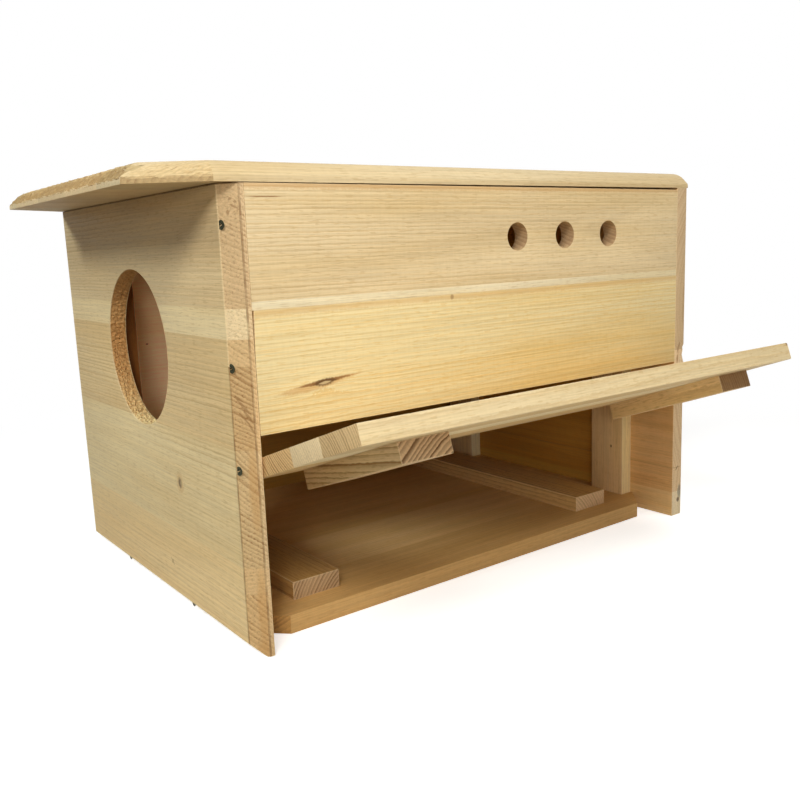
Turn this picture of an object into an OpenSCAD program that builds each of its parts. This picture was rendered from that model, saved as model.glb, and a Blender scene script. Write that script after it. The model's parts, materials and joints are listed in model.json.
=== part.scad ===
// Barn owl nest box of edge-glued softwood boards, with a hatch along the front.
// Lengths are in millimetres. The origin is the middle of the underside, the hatch faces -Y
// and the entrance hole faces -X.

/* [Box] */
// Outside width along the front, over both end walls
box_w = 600; // [480:1:900]
// Outside depth from front to back
box_d = 440; // [400:1:700]
// Height of the walls, up to the underside of the roof
wall_h = 402; // [360:1:600]
// Thickness of every board and batten
board_t = 18; // [15:0.5:24]
// Plain strip that is left under a bevelled edge
edge_flat = 4.5; // [2:0.5:8]
// Leg of the bevel along the entrance wall's lower edge
foot_bevel = 11.5; // [5:0.5:14]

/* [Roof] */
// Overhang past the entrance wall
roof_overhang = 67; // [30:1:110]
// Overhang past the plain end wall
roof_end_overhang = 4; // [1:0.5:20]
// Depth of the corner clipped off beside the front edge
roof_clip_front = 38; // [15:1:42]
// Depth of the corner clipped off beside the back edge
roof_clip_back = 48; // [15:1:50]
// Angle between a clipped corner and the roof's long edge
roof_clip_angle = 32.5; // [25:0.5:60]

/* [Entrance hole] */
// Diameter of the entrance hole
hole_d = 157; // [100:1:180]
// Distance of its centre from the front
hole_y = 222; // [210:1:240]
// Height of its centre above the base
hole_z = 256; // [200:1:290]

/* [Front panel] */
// Height of the fixed panel over the hatch
panel_h = 206; // [160:1:250]
// Height of the panel's upper board
panel_upper_h = 102; // [80:1:130]
// Slit between the panel and the roof
panel_slit = 2; // [0.5:0.5:6]
// Diameter of a ventilation hole
vent_d = 28; // [12:1:40]
// Distance of the first ventilation hole from the entrance end
vent_first = 319; // [100:0.5:330]
// Spacing of the ventilation holes
vent_pitch = 69.5; // [45:0.5:75]
// Distance of the ventilation holes below the roof
vent_drop = 50; // [30:1:60]

/* [Hatch] */
// Distance of the hatch's pivots below the fixed panel
pivot_drop = 29; // [24:0.5:40]
// Clearance over the hatch as its head turns past the fixed panel
swing_gap = 5; // [3:0.5:8]
// Gap between the hatch and an end wall
hatch_side_gap = 1; // [0.5:0.5:6]
// Height of the shut hatch's lower edge above the base
hatch_foot = 4; // [2:0.5:12]
// Angle from shut to the open position that is shown
hatch_open = 109; // [60:1:130]
// Width of the hatch's lower board
hatch_lower_w = 55; // [40:1:70]
// Width of the hatch's middle board
hatch_middle_w = 48; // [30:1:60]
// Distance of the left batten from the hatch's end
hatch_batten_left = 53; // [30:1:120]
// Distance of the right batten from the hatch's end
hatch_batten_right = 35; // [30:1:120]
// Length by which the battens stop short of the hatch's lower edge
hatch_batten_stop = 33; // [20:1:60]

/* [Floor] */
// Distance of the floor's front edge from the front
floor_front = 28; // [26:1:60]
// Leg of the drainage corner cut off at each corner of the floor
floor_clip = 32; // [10:1:60]
// Distance of the left floor batten from the entrance wall
floor_batten_left = 52; // [30:1:120]
// Distance of the right floor batten from the end wall
floor_batten_right = 62; // [30:1:120]
// Distance of the floor battens' ends from the floor's front edge and the back wall
floor_batten_end = 28; // [10:1:60]

/* [Battens and cleats] */
// Width of the floor's and the hatch's battens
batten_w = 52; // [35:1:70]
// Width of the upright cleats
cleat_w = 50; // [30:1:60]
// Distance of the entrance wall's cleats from the front and the back
cleat_left = 72; // [40:1:78]
// Distance of the end wall's front cleat from the front
cleat_right_front = 64; // [40:1:110]
// Distance of the end wall's back cleat from the back
cleat_right_back = 35; // [28:1:110]

/* [Pivot screws] */
// Diameter of a pivot screw's shank
screw_d = 5; // [4:0.5:6]
// Diameter of its head
screw_head_d = 7.5; // [7:0.5:11]
// Height of its head
screw_head_h = 2.6; // [1.5:0.1:4]
// Length of the shank inside the hatch
screw_reach = 32; // [15:1:45]
// Running clearance around the shank
screw_clearance = 0.1; // [0.05:0.05:0.5]

/* [Hidden] */
$fn = 96;

margin = 1;
left_x = -box_w / 2;
right_x = box_w / 2;
front_y = -box_d / 2;
back_y = box_d / 2;
inner_left = left_x + board_t;
inner_right = right_x - board_t;
inner_back = back_y - board_t;
edge_bevel = board_t - edge_flat;
roof_left = left_x - roof_overhang;
roof_right = right_x + roof_end_overhang;
clip_run = 1 / tan(roof_clip_angle);
vent_count = 3;

pivot_y = front_y + board_t / 2;
pivot_z = wall_h - panel_h - pivot_drop;
hatch_left = inner_left + hatch_side_gap;
hatch_right = inner_right - hatch_side_gap;
hatch_head = sqrt(pow(pivot_drop - swing_gap, 2) - pow(board_t / 2, 2));
hatch_reach = pivot_z - hatch_foot;
hatch_lower_joint = -hatch_reach + hatch_lower_w;
hatch_upper_joint = hatch_lower_joint + hatch_middle_w;

floor_y = front_y + floor_front;
bevel_at_pivot = left_x + edge_bevel - board_t / 2;
head_seat_left = bevel_at_pivot + screw_head_h / 2;

wood_pale = [0.86, 0.75, 0.56];
wood_warm = [0.80, 0.66, 0.45];
wood_grey = [0.66, 0.57, 0.43];
screw_grey = [0.42, 0.42, 0.36];

// A square-edged board between two corners
module board(low, high) {
    translate(low)
        cube(high - low);
}

// A long prism that takes a corner off along the local Z axis, with equal legs along X and Y
module corner_cut(leg, length) {
    translate([0, 0, -margin])
        linear_extrude(length + 2 * margin)
            polygon([[-margin, -margin], [leg + margin, -margin], [-margin, leg + margin]]);
}

// A prism that bevels the upper edge of a board along the line from one corner of its outline to the next
module edge_cut(from, to) {
    run = to - from;
    overrun = box_w;
    translate([from.x, from.y, 0])
        rotate([0, 0, atan2(run.y, run.x)])
            translate([-overrun, 0, 0])
                rotate([90, 0, 90])
                    linear_extrude(norm(run) + 2 * overrun)
                        polygon([[-margin, edge_flat - margin],
                                 [edge_bevel + margin, board_t + margin],
                                 [-margin, board_t + margin]]);
}

// A round hole or shank along X between two places
module shaft_x(from, to, d, y, z) {
    translate([from, y, z])
        rotate([0, 90, 0])
            cylinder(d = d, h = to - from);
}

// The roof's outline, counter-clockwise from the entrance end of its front clip
roof_outline = [
    [roof_left, front_y + roof_clip_front],
    [roof_left + roof_clip_front * clip_run, front_y],
    [roof_right, front_y],
    [roof_right, back_y],
    [roof_left + roof_clip_back * clip_run, back_y],
    [roof_left, back_y - roof_clip_back]
];

module roof() {
    corners = len(roof_outline);
    color(wood_pale)
        translate([0, 0, wall_h])
            difference() {
                linear_extrude(board_t)
                    polygon(roof_outline);
                for (i = [0 : corners - 1]) {
                    from = roof_outline[i];
                    to = roof_outline[(i + 1) % corners];
                    is_plain_end = from.x == roof_right && to.x == roof_right;
                    if (!is_plain_end)
                        edge_cut(from, to);
                }
            }
}

module entrance_wall() {
    color(wood_warm)
        difference() {
            board([left_x, front_y, 0], [inner_left, back_y, wall_h]);
            translate([left_x, front_y, 0])
                corner_cut(edge_bevel, wall_h);
            translate([left_x, back_y, 0])
                mirror([0, 1, 0])
                    corner_cut(edge_bevel, wall_h);
            translate([left_x, back_y, 0])
                rotate([90, 0, 0])
                    corner_cut(foot_bevel, box_d);
            shaft_x(left_x - margin, inner_left + margin, hole_d, front_y + hole_y, hole_z);
            shaft_x(left_x - margin, inner_left + margin, screw_d + 2 * screw_clearance, pivot_y, pivot_z);
            shaft_x(left_x - margin, head_seat_left, screw_head_d + 2 * screw_clearance, pivot_y, pivot_z);
        }
}

module end_wall() {
    color(wood_warm)
        difference() {
            board([inner_right, front_y, 0], [right_x, back_y, wall_h]);
            shaft_x(inner_right - margin, right_x + margin, screw_d + 2 * screw_clearance, pivot_y, pivot_z);
        }
}

module back_wall() {
    color(wood_warm)
        board([inner_left, inner_back, 0], [inner_right, back_y, wall_h]);
}

module front_board_upper() {
    color(wood_pale)
        difference() {
            board([inner_left, front_y, wall_h - panel_upper_h],
                  [inner_right, front_y + board_t, wall_h - panel_slit]);
            for (i = [0 : vent_count - 1])
                translate([left_x + vent_first + i * vent_pitch, front_y - margin, wall_h - vent_drop])
                    rotate([-90, 0, 0])
                        cylinder(d = vent_d, h = board_t + 2 * margin);
        }
}

module front_board_lower() {
    color(wood_warm)
        board([inner_left, front_y, wall_h - panel_h],
              [inner_right, front_y + board_t, wall_h - panel_upper_h]);
}

module floor_board() {
    color(wood_pale)
        linear_extrude(board_t)
            polygon([
                [inner_left, floor_y + floor_clip], [inner_left + floor_clip, floor_y],
                [inner_right - floor_clip, floor_y], [inner_right, floor_y + floor_clip],
                [inner_right, inner_back - floor_clip], [inner_right - floor_clip, inner_back],
                [inner_left + floor_clip, inner_back], [inner_left, inner_back - floor_clip]
            ]);
}

// A batten that lies on the floor from front to back
module floor_batten(from_x) {
    color(wood_grey)
        board([from_x, floor_y + floor_batten_end, board_t],
              [from_x + batten_w, inner_back - floor_batten_end, 2 * board_t]);
}

// An upright cleat that stands on the floor against an end wall
module cleat(from_x, from_y) {
    color(wood_grey)
        board([from_x, from_y, board_t], [from_x + board_t, from_y + cleat_w, wall_h]);
}

// A screw along X whose head is at the origin and whose shank points to +X
module pivot_screw(shank) {
    color(screw_grey) {
        rotate([0, 90, 0])
            cylinder(d = screw_d, h = shank);
        translate([-screw_head_h, 0, 0])
            rotate([0, 90, 0])
                cylinder(d = screw_head_d, h = screw_head_h);
    }
}

module pivot_screw_left() {
    translate([head_seat_left, pivot_y, pivot_z])
        pivot_screw(hatch_left + screw_reach - head_seat_left);
}

module pivot_screw_right() {
    translate([right_x, pivot_y, pivot_z])
        mirror([1, 0, 0])
            pivot_screw(right_x - hatch_right + screw_reach);
}

// Turns a piece drawn on the shut hatch, with the pivot axis at its origin, to the open position
module on_hatch() {
    translate([0, pivot_y, pivot_z])
        rotate([-hatch_open, 0, 0])
            children();
}

// One board of the shut hatch between two heights from the pivot axis
module hatch_board(low, high) {
    board([hatch_left, -board_t / 2, low], [hatch_right, board_t / 2, high]);
}

module hatch_board_top() {
    bore_depth = screw_reach + margin;
    bore_d = screw_d + 2 * screw_clearance;
    color(wood_pale)
        on_hatch()
            difference() {
                hatch_board(hatch_upper_joint, hatch_head);
                shaft_x(hatch_left - margin, hatch_left + bore_depth, bore_d, 0, 0);
                shaft_x(hatch_right - bore_depth, hatch_right + margin, bore_d, 0, 0);
            }
}

module hatch_board_middle() {
    color(wood_pale)
        on_hatch()
            hatch_board(hatch_lower_joint, hatch_upper_joint);
}

module hatch_board_bottom() {
    color(wood_pale)
        on_hatch()
            hatch_board(-hatch_reach, hatch_lower_joint);
}

// A batten across the inner face of the hatch
module hatch_batten(from_x) {
    color(wood_grey)
        on_hatch()
            board([from_x, board_t / 2, -hatch_reach + hatch_batten_stop],
                  [from_x + batten_w, 3 * board_t / 2, hatch_head]);
}

roof();
entrance_wall();
end_wall();
back_wall();
front_board_upper();
front_board_lower();
floor_board();  // floor
floor_batten(inner_left + floor_batten_left);
floor_batten(inner_right - floor_batten_right - batten_w);
cleat(inner_left, front_y + cleat_left);  // cleat_front_left
cleat(inner_left, back_y - cleat_left - cleat_w);  // cleat_back_left
cleat(inner_right - board_t, front_y + cleat_right_front);  // cleat_front_right
cleat(inner_right - board_t, back_y - cleat_right_back - cleat_w);  // cleat_back_right
pivot_screw_left();
pivot_screw_right();
hatch_board_top();
hatch_board_middle();
hatch_board_bottom();
hatch_batten(hatch_left + hatch_batten_left);
hatch_batten(hatch_right - hatch_batten_right - batten_w);
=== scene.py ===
import json
import math
import random
from collections import namedtuple

import bmesh
import bpy
from mathutils import Matrix, Vector, noise


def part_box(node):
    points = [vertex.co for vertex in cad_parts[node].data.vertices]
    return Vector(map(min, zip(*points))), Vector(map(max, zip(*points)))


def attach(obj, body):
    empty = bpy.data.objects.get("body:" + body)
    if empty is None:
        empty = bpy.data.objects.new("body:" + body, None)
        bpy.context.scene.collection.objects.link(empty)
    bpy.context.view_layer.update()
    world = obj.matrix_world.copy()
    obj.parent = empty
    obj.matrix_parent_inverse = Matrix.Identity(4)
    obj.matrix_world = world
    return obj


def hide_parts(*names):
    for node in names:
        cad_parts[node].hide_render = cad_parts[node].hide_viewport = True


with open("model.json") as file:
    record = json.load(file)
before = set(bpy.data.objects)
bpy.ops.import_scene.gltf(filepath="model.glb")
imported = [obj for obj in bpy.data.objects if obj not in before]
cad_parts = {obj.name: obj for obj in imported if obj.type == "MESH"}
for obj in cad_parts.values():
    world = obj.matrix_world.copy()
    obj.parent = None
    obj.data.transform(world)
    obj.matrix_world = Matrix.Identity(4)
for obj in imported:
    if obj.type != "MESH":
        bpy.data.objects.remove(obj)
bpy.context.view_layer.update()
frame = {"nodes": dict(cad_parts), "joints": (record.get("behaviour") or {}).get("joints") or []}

MM = 0.001
X = Vector((1, 0, 0))
Y = Vector((0, 1, 0))
Z = Vector((0, 0, 1))

# The open hatch rises towards its lower edge, which points away from the box.
hatch_joint = frame["joints"][0]
hatch_rise = math.radians(-hatch_joint["range_deg"][0] - 90)
HATCH_OUT = Vector((0, -math.cos(hatch_rise), math.sin(hatch_rise)))

# Main planes of the box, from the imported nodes
wall_low, wall_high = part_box("entrance_wall")
roof_low, roof_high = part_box("roof")
front_y = wall_low.y
back_y = wall_high.y
left_x = wall_low.x
right_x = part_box("end_wall")[1].x
board_t = wall_high.x - wall_low.x
wall_top = wall_high.z

EDGE_BEVEL = 13.5 * MM
EDGE_FLAT = 4.5 * MM

MERGE_DISTANCE = 0.001 * MM
FLAT_ANGLE = math.radians(0.5)
SHARP_ANGLE = math.radians(30)
SMOOTH_ANGLE = math.radians(25)
SHORT_EDGE = 0.8 * MM


# Shader nodes

class Nodes:
    """Lays nodes in one tree and links them by their sockets."""

    def __init__(self, tree):
        self.tree = tree

    def feed(self, socket, value):
        if isinstance(value, bpy.types.NodeSocket):
            self.tree.links.new(value, socket)
        else:
            socket.default_value = value

    def add(self, kind, inputs=None, **settings):
        made = self.tree.nodes.new(kind)
        for name, value in settings.items():
            setattr(made, name, value)
        for name, value in (inputs or {}).items():
            self.feed(made.inputs[name], value)
        return made

    def math(self, operation, *values):
        return self.add("ShaderNodeMath", dict(enumerate(values)), operation=operation).outputs[0]

    def vector(self, operation, *values):
        made = self.add("ShaderNodeVectorMath", dict(enumerate(values)), operation=operation)
        return made.outputs["Vector"]

    def measure(self, operation, *values):
        made = self.add("ShaderNodeVectorMath", dict(enumerate(values)), operation=operation)
        return made.outputs["Value"]

    def step(self, value, low, high, to_low=0.0, to_high=1.0):
        sockets = {"Value": value, "From Min": low, "From Max": high, "To Min": to_low, "To Max": to_high}
        return self.add("ShaderNodeMapRange", sockets, interpolation_type="SMOOTHSTEP").outputs["Result"]

    def mix(self, factor, first, second, blend="MIX"):
        made = self.add("ShaderNodeMix", data_type="RGBA", blend_type=blend)
        for index, value in ((0, factor), (6, first), (7, second)):
            self.feed(made.inputs[index], value)
        return made.outputs[2]

    def noise(self, place, detail=0.0):
        sockets = {"Vector": place, "Scale": 1.0, "Detail": detail}
        return self.add("ShaderNodeTexNoise", sockets)

    def stretched(self, place, along, across):
        return self.vector("MULTIPLY", place, (along, across, across))

    def drift(self, place, along, across, reach):
        """A smooth shift that differs from place to place."""
        shift = self.noise(self.stretched(place, along, across), 1.0).outputs["Color"]
        shift = self.vector("SUBTRACT", shift, (0.5, 0.5, 0.5))
        scaled = self.add("ShaderNodeVectorMath", {0: shift, "Scale": reach}, operation="SCALE")
        return scaled.outputs[0]

    def ramp(self, value, stops):
        made = self.add("ShaderNodeValToRGB", {0: value})
        elements = made.color_ramp.elements
        while len(elements) < len(stops):
            elements.new(1.0)
        for element, (place, grey) in zip(elements, stops):
            element.position = place
            element.color = (grey, grey, grey, 1)
        return made.outputs[0]


def rgba(colour):
    return (*colour, 1.0)


# Softwood: growth rings round a pith line, fibres along it, pores where it is cut across

RING_PROFILE = ((0.0, 0.0), (0.4, 0.08), (0.72, 0.5), (0.88, 1.0), (0.96, 0.55), (1.0, 0.0))
END_PROFILE = ((0.0, 0.0), (0.25, 0.08), (0.6, 0.7), (0.85, 1.0), (0.96, 0.6), (1.0, 0.0))
FIGURE_OUTPUTS = ("Ring", "End ring", "Fibre", "Dash", "Cloud", "Pore", "Tick")


def make_figure_group():
    group = bpy.data.node_groups.new("wood_figure", "ShaderNodeTree")
    for name in ("Ring width", "Wander", "Bend"):
        group.interface.new_socket(name, in_out="INPUT", socket_type="NodeSocketFloat")
    for name in FIGURE_OUTPUTS:
        group.interface.new_socket(name, in_out="OUTPUT", socket_type="NodeSocketFloat")
    n = Nodes(group)
    given = n.add("NodeGroupInput").outputs
    place = n.add("ShaderNodeAttribute", attribute_name="grain_place").outputs["Vector"]
    figure = n.add("ShaderNodeAttribute", attribute_name="grain_figure").outputs["Vector"]
    seed = n.add("ShaderNodeSeparateXYZ", {0: figure}).outputs["X"]
    look = n.vector("ADD", place, n.vector("MULTIPLY", figure, (41.0, 0.0, 0.0)))

    # The pith line wanders, so the rings drift across the faces, and every ring shivers a little
    moved = n.vector("ADD", place, n.drift(look, 1.5, 6.0, given["Wander"]))
    moved = n.vector("ADD", moved, n.drift(look, 22.0, 70.0, 1.6 * MM))
    moved = n.vector("ADD", moved, n.drift(look, 190.0, 420.0, 0.9 * MM))
    radius = n.measure("LENGTH", n.vector("MULTIPLY", moved, (0.0, 1.0, 1.0)))
    radius = n.math("ADD", radius, given["Bend"])

    # Years differ in width and in how dark their late wood is
    uneven = n.add("ShaderNodeTexNoise", {"W": radius, "Scale": 70.0, "Detail": 1.0}, noise_dimensions="1D")
    uneven = n.math("MULTIPLY", n.math("SUBTRACT", uneven.outputs[0], 0.5), 1.1)
    years = n.math("ADD", n.math("DIVIDE", radius, given["Ring width"]), uneven)
    years = n.math("ADD", years, n.math("MULTIPLY", seed, 60.0))
    season = n.math("FRACT", years)
    year = n.math("ADD", n.math("FLOOR", years), seed)
    strong = n.add("ShaderNodeTexWhiteNoise", {"W": year}, noise_dimensions="1D").outputs["Value"]
    strong = n.math("MULTIPLY_ADD", strong, 0.6, 0.4)
    patch = n.step(n.noise(n.stretched(look, 1.6, 11.0), 1.0).outputs[0], 0.36, 0.64, 0.35, 1.25)
    ring = n.math("MULTIPLY", n.math("MULTIPLY", n.ramp(season, RING_PROFILE), strong), patch)
    end_ring = n.math("MULTIPLY", n.ramp(season, END_PROFILE), strong)

    fibre = n.noise(n.stretched(look, 12.0, 700.0), 2.0).outputs[0]
    dash = n.step(n.noise(n.stretched(look, 90.0, 800.0)).outputs[0], 0.6, 0.72)
    cloud = n.noise(n.stretched(look, 3.0, 28.0), 3.0).outputs[0]
    pore = n.step(n.noise(n.stretched(look, 420.0, 560.0), 1.0).outputs[0], 0.55, 0.68)
    tick = n.noise(n.stretched(look, 330.0, 60.0), 1.0).outputs[0]
    result = n.add("NodeGroupOutput")
    for name, socket in zip(FIGURE_OUTPUTS, (ring, end_ring, fibre, dash, cloud, pore, tick)):
        n.feed(result.inputs[name], socket)
    return group


figure_group = make_figure_group()

Wood = namedtuple("Wood", "early late gold end_early end_late ring_mix end_mix ring_width wander pore worn",
                  defaults=(0.2, 1.0))
Stain = namedtuple("Stain", "centre along across length width colour strength pointed", defaults=(False,))
Swirl = namedtuple("Swirl", "centre along across length width lift")

KNOT_DARK = (0.085, 0.042, 0.017)
KNOT_BROWN = (0.26, 0.13, 0.045)
KNOT_HALO_AND_SHADE = (0.56, 0.29, 0.09)
KNOT_HEART = (0.66, 0.52, 0.28)
BLUE_STAIN = (0.20, 0.20, 0.17)
PORE_DARK = (0.30, 0.15, 0.055)
ARRIS_DARK = (0.20, 0.10, 0.035)


def apart(n, place, mark, ragged):
    """Distance from the middle of a mark, one at its edge, which is an oval or a pointed lens."""
    away = n.vector("SUBTRACT", place, mark.centre)
    along = n.math("DIVIDE", n.measure("DOT_PRODUCT", away, mark.along), mark.length)
    aside = n.math("DIVIDE", n.measure("DOT_PRODUCT", away, mark.across), mark.width)
    aside = n.math("ADD", aside, ragged)
    along = n.math("MULTIPLY", along, along)
    if isinstance(mark, Stain) and mark.pointed:
        return n.math("ADD", along, n.math("ABSOLUTE", aside)), aside
    return n.math("SQRT", n.math("ADD", along, n.math("MULTIPLY", aside, aside))), aside


def bend_round(n, place, swirl, ragged):
    """How far the rings step aside near a knot."""
    distance, aside = apart(n, place, swirl, ragged)
    fade = n.math("POWER", math.e, n.math("MULTIPLY", n.math("MULTIPLY", distance, distance), -0.35))
    pushed = n.math("MULTIPLY_ADD", aside, 2.2 * swirl.width, swirl.lift)
    return n.math("MULTIPLY", pushed, fade)


def softwood(name, wood, stains=(), swirls=()):
    """A material for planed or sawn softwood."""
    material = bpy.data.materials.new(name)
    material.use_nodes = True
    tree = material.node_tree
    n = Nodes(tree)
    shader = tree.nodes["Principled BSDF"]
    figure = n.add("ShaderNodeAttribute", attribute_name="grain_figure").outputs["Vector"]
    parts = n.add("ShaderNodeSeparateXYZ", {0: figure}).outputs
    cut_across = n.step(parts["Y"], 0.15, 0.75)
    arris = parts["Z"]
    stave = n.add("ShaderNodeAttribute", attribute_name="stave_tint").outputs
    place = n.add("ShaderNodeTexCoord").outputs["Object"]

    ragged = 0.0
    if stains or swirls:
        ragged = n.noise(n.vector("MULTIPLY", place, (500.0, 500.0, 500.0)), 2.0).outputs[0]
        ragged = n.math("MULTIPLY_ADD", ragged, 0.8, -0.4)
    bend = 0.0
    for swirl in swirls:
        bend = n.math("ADD", bend, bend_round(n, place, swirl, ragged))
    grown = n.add("ShaderNodeGroup", node_tree=figure_group)
    for socket, value in (("Ring width", wood.ring_width), ("Wander", wood.wander), ("Bend", bend)):
        n.feed(grown.inputs[socket], value)
    ring, end_ring, fibre, dash, cloud, pore, tick = (grown.outputs[name] for name in FIGURE_OUTPUTS)
    ring = n.math("MULTIPLY", ring, stave["Alpha"])
    end_ring = n.math("MULTIPLY", end_ring, stave["Alpha"])

    # Planed along the grain
    planed = n.mix(n.step(cloud, 0.36, 0.68, 0.0, 0.75), rgba(wood.early), rgba(wood.gold))
    planed = n.mix(n.math("MULTIPLY", ring, wood.ring_mix), planed, rgba(wood.late))
    planed = n.mix(n.math("MULTIPLY", dash, 0.3), planed, rgba(wood.late))
    # Sawn across the grain, where the late wood tears out into pits
    sawn = n.mix(n.math("MULTIPLY", end_ring, wood.end_mix), rgba(wood.end_early), rgba(wood.end_late))
    pits = n.math("MULTIPLY", pore, n.step(end_ring, 0.0, 0.8, 0.35, 1.0))
    sawn = n.mix(n.math("MULTIPLY", pits, wood.pore), sawn, rgba(PORE_DARK))
    colour = n.mix(cut_across, planed, sawn)
    streak = n.math("MULTIPLY", n.step(fibre, 0.3, 0.7, 0.915, 1.055), n.step(tick, 0.3, 0.7, 0.985, 1.012))
    colour = n.add("ShaderNodeVectorMath", {0: colour, "Scale": streak}, operation="SCALE").outputs[0]
    colour = n.mix(1.0, colour, stave["Color"], "MULTIPLY")
    for stain in stains:
        distance = apart(n, place, stain, ragged)[0]
        colour = n.mix(n.step(distance, 1.2, 0.5, 0.0, stain.strength), colour, rgba(stain.colour))
    # Eased arrises are paled towards the early wood in streaks, a painted highlight.
    highlight_colour = rgba(tuple(1.1 * part for part in wood.early))
    worn = n.math("MULTIPLY", n.math("MAXIMUM", arris, 0.0), n.step(fibre, 0.35, 0.65, 0.25, 0.6))
    colour = n.mix(n.math("MULTIPLY", worn, wood.worn), colour, highlight_colour)
    # Arrises marked dark are darkened; at the joint under the roof this is painted shade.
    darkened_arris = n.math("MULTIPLY", n.math("MINIMUM", arris, 0.0), n.step(tick, 0.35, 0.65, -0.3, -0.65))
    colour = n.mix(darkened_arris, colour, rgba(ARRIS_DARK))
    n.feed(shader.inputs["Base Color"], colour)

    rough = n.math("MULTIPLY_ADD", fibre, 0.22, 0.5)
    rough = n.math("ADD", rough, n.math("MULTIPLY", cut_across, 0.14))
    n.feed(shader.inputs["Roughness"], rough)
    shader.inputs["Specular IOR Level"].default_value = 0.25

    height = n.math("MULTIPLY_ADD", ring, 0.12, n.math("MULTIPLY", fibre, 0.5))
    height = n.math("SUBTRACT", height, n.math("MULTIPLY", dash, 0.4))
    height = n.math("SUBTRACT", height, n.math("MULTIPLY", n.math("MULTIPLY", pits, cut_across), 0.9))
    bump = n.add("ShaderNodeBump", {"Strength": 0.35, "Distance": 0.5 * MM, "Height": height})
    n.feed(shader.inputs["Normal"], bump.outputs[0])
    return material


PANEL = Wood(early=(0.80, 0.63, 0.36), late=(0.54, 0.34, 0.13), gold=(0.74, 0.55, 0.27),
             end_early=(0.74, 0.55, 0.32), end_late=(0.36, 0.19, 0.07), ring_mix=0.6, end_mix=0.75,
             ring_width=3.5 * MM, wander=12 * MM)
LOWER = PANEL._replace(early=(0.81, 0.64, 0.35), late=(0.70, 0.42, 0.12), gold=(0.77, 0.53, 0.21),
                       ring_mix=0.75, ring_width=4.2 * MM, wander=18 * MM)
WALL = PANEL._replace(late=(0.50, 0.33, 0.14), gold=(0.72, 0.53, 0.27), ring_mix=0.85, end_mix=0.7,
                      pore=0.65)
END = PANEL._replace(late=(0.60, 0.38, 0.17), end_early=(0.82, 0.65, 0.43), end_late=(0.60, 0.37, 0.20),
                     end_mix=0.6, ring_width=6 * MM)
ROOF = PANEL._replace(early=(0.77, 0.62, 0.37), late=(0.50, 0.33, 0.14), gold=(0.70, 0.53, 0.28),
                      end_early=(0.54, 0.37, 0.17), end_late=(0.28, 0.16, 0.05), ring_mix=0.55,
                      end_mix=0.65, pore=0.75, worn=0.3)
HATCH = PANEL._replace(early=(0.80, 0.64, 0.39), end_early=(0.84, 0.62, 0.35), ring_mix=0.45,
                       end_mix=1.15, ring_width=2.9 * MM)
# The floor's colours are darker and oranger than the panel's, as painted shade for the dim inside of the
# box.
FLOOR = PANEL._replace(early=(0.70, 0.45, 0.19), late=(0.52, 0.28, 0.09), gold=(0.62, 0.38, 0.14),
                       end_early=(0.60, 0.34, 0.11), ring_mix=0.4, worn=0.1)
BATTEN = PANEL._replace(early=(0.78, 0.60, 0.36), late=(0.30, 0.17, 0.06), end_early=(0.64, 0.45, 0.27),
                        end_late=(0.13, 0.06, 0.022), ring_mix=0.95, end_mix=1.2, ring_width=3.8 * MM)
BACK = PANEL._replace(late=(0.66, 0.48, 0.24))
CLEAT = BATTEN._replace(late=(0.52, 0.34, 0.17))


def on_plane(across, up, degrees):
    """A direction in a plane and the one at right angles to it."""
    turn = math.radians(degrees)
    return (math.cos(turn) * across + math.sin(turn) * up, math.cos(turn) * up - math.sin(turn) * across)


# The knot in the lower front board is a pale eye between two dark lids, with streaks to both sides.
knot_centre = Vector((-0.2167, front_y, 0.2335))
knot_along, knot_up = on_plane(X, Z, 5)
# Shift across and up, length and width, all in millimetres, then colour and strength
STREAKS = (
    (-14, -2.8, 36, 4.2, KNOT_HALO_AND_SHADE, 0.5),
    (8, 1.2, 34, 1.9, KNOT_HALO_AND_SHADE, 0.75),
    (0, 0.6, 30, 2.1, KNOT_BROWN, 0.9),
    (0, 0, 13, 3.6, KNOT_DARK, 0.72),
    (0, -0.5, 7, 1.3, KNOT_HEART, 0.8),
)
panel_knot = []
for x, z, length, width, colour, strength in STREAKS:
    centre = knot_centre + x * MM * X + z * MM * Z
    panel_knot.append(Stain(centre, knot_along, knot_up, length * MM, width * MM, colour, strength, True))
panel_swirl = Swirl(knot_centre, X, Z, 20 * MM, 4 * MM, 0.0)
joint_dot = Stain(Vector((-0.0695, front_y, 0.2975)), X, Z, 2.4 * MM, 2.8 * MM, KNOT_BROWN, 0.6)
groove = Stain(Vector((-0.264, front_y, 0.3905)), X, Z, 18 * MM, 0.6 * MM, KNOT_BROWN, 0.8)
band_length = 2 * (right_x - left_x)
lower_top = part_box("front_board_lower")[1].z
# The band under the roof is a painted shadow of the roof on the top of the upper board.
roof_shadow_band = Stain(Vector((0, front_y, wall_top)), X, Z, band_length, 6 * MM, KNOT_HALO_AND_SHADE, 0.45)
joint_band = Stain(Vector((0, front_y, lower_top)), X, Z, band_length, 7 * MM, KNOT_HALO_AND_SHADE, 0.3)

# Knots in the entrance wall, and the torn grain on its bevel
bevel_along = (X - Y).normalized()


def on_bevel(x, z):
    """A place on the bevel of the entrance wall, in millimetres from the wall's own corner."""
    return Vector((left_x + x * MM, front_y + EDGE_BEVEL - x * MM, z * MM))


wall_knot = Vector((left_x, -0.0815, 0.1315))
star = Vector((left_x, -0.045, 0.0425))
curl = Vector((-0.2925, -0.2140, 0.382))
wall_stains = [
    Stain(wall_knot, Y, Z, 9 * MM, 11 * MM, KNOT_HALO_AND_SHADE, 0.35),
    Stain(wall_knot, Y, Z, 4.4 * MM, 5.4 * MM, KNOT_DARK, 0.8),
    Stain(wall_knot - 2 * MM * Y, Y, Z, 1.8 * MM, 3 * MM, KNOT_HEART, 0.5),
    Stain(star, *on_plane(Y, Z, 40), 6 * MM, 1.1 * MM, KNOT_BROWN, 0.6, True),
    Stain(star, *on_plane(Y, Z, -50), 4 * MM, 1.0 * MM, KNOT_BROWN, 0.5, True),
]
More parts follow.
